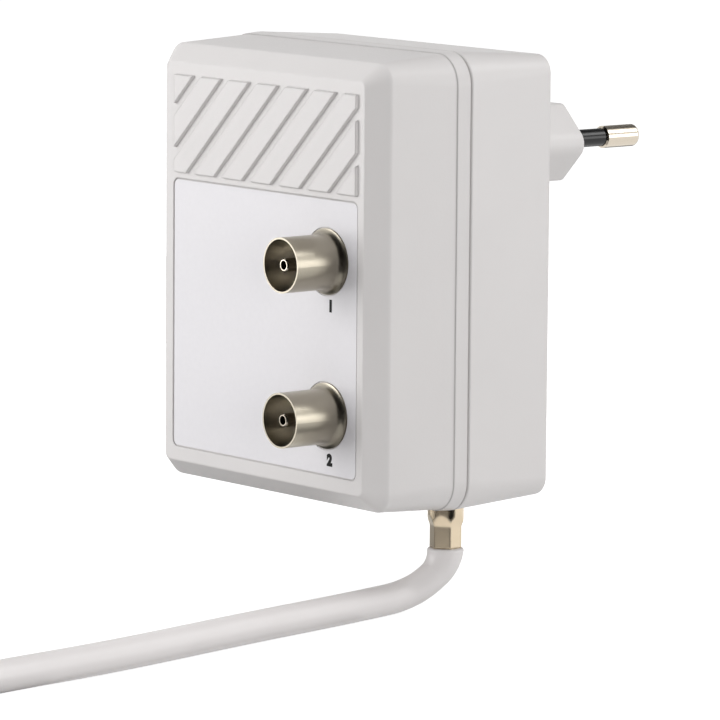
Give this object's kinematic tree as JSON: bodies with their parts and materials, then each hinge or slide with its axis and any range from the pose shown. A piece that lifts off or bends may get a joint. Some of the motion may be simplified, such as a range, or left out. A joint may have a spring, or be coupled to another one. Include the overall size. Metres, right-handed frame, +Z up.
{
  "type": "tv signal amplifier",
  "caption": "Upright plug-in aerial amplifier with coaxial outlets on its front panel, a two-pin mains plug behind and an attached coaxial input lead.",
  "frame": {"origin": "middle of the plug boss's outer face, between the two mains pins, where a wall socket's face meets it", "axes": "+Y into the wall along the pins, +Z up, +X to the right of the panel as a user faces it; the panel with the outlets faces -Y"},
  "size_m": [0.0976, 0.2365, 0.0973],
  "materials": {
    "housing": "light warm grey ABS, finely textured",
    "label": "white satin film",
    "screw_steel": "zinc-plated steel",
    "pin_metal": "nickel-plated brass",
    "sleeve": "black polyamide",
    "copper": "enamelled or bare copper",
    "outlet_metal": "nickel-plated brass, drawn",
    "insulator": "natural polyethylene",
    "outlet_insulator": "dark moulded phenolic",
    "tinplate": "tinned steel sheet",
    "board": "phenolic board",
    "black_epoxy": "black moulded epoxy",
    "ferrite": "ferrite",
    "laminations": "varnished silicon steel",
    "bobbin": "moulded polyamide",
    "capacitor_can": "aluminium can in a dark film",
    "ferrule_metal": "nickel-plated brass, crimped",
    "lead_jacket": "white soft PVC",
    "tie_plastic": "white polythene band",
    "coupling_plastic": "white moulded PVC"
  },
  "bodies": {
    "root": {"front_shell": "housing", "rear_shell": "housing", "label_plate": "label", "case_screws": "screw_steel", "mains_pin_left": "pin_metal", "mains_pin_right": "pin_metal", "pin_sleeve_left": "sleeve", "pin_sleeve_right": "sleeve", "mains_wires": "copper", "outlet_1_shell": "outlet_metal", "outlet_1_insulator": "outlet_insulator", "outlet_1_contact": "outlet_metal", "outlet_2_shell": "outlet_metal", "outlet_2_insulator": "outlet_insulator", "outlet_2_contact": "outlet_metal", "shield_can": "tinplate", "shield_lid": "tinplate", "radio_board": "board", "transistors": "black_epoxy", "splitter_core": "ferrite", "circuit_board": "board", "transformer_core": "laminations", "transformer_bobbin": "bobbin", "primary_winding": "copper", "secondary_winding": "copper", "capacitors": "capacitor_can", "rectifier_diodes": "black_epoxy", "voltage_regulator": "black_epoxy", "crimp_ferrule": "ferrule_metal", "cable_spigot": "ferrule_metal", "lead_dielectric": "insulator", "lead_conductor": "copper", "jacket_end": "lead_jacket", "cord_run": "lead_jacket", "cord_coil": "lead_jacket", "cord_tie": "tie_plastic", "coupling_body": "coupling_plastic", "coupling_barrel": "outlet_metal", "coupling_insulator": "insulator", "coupling_contact": "outlet_metal"}
  },
  "joints": []
}
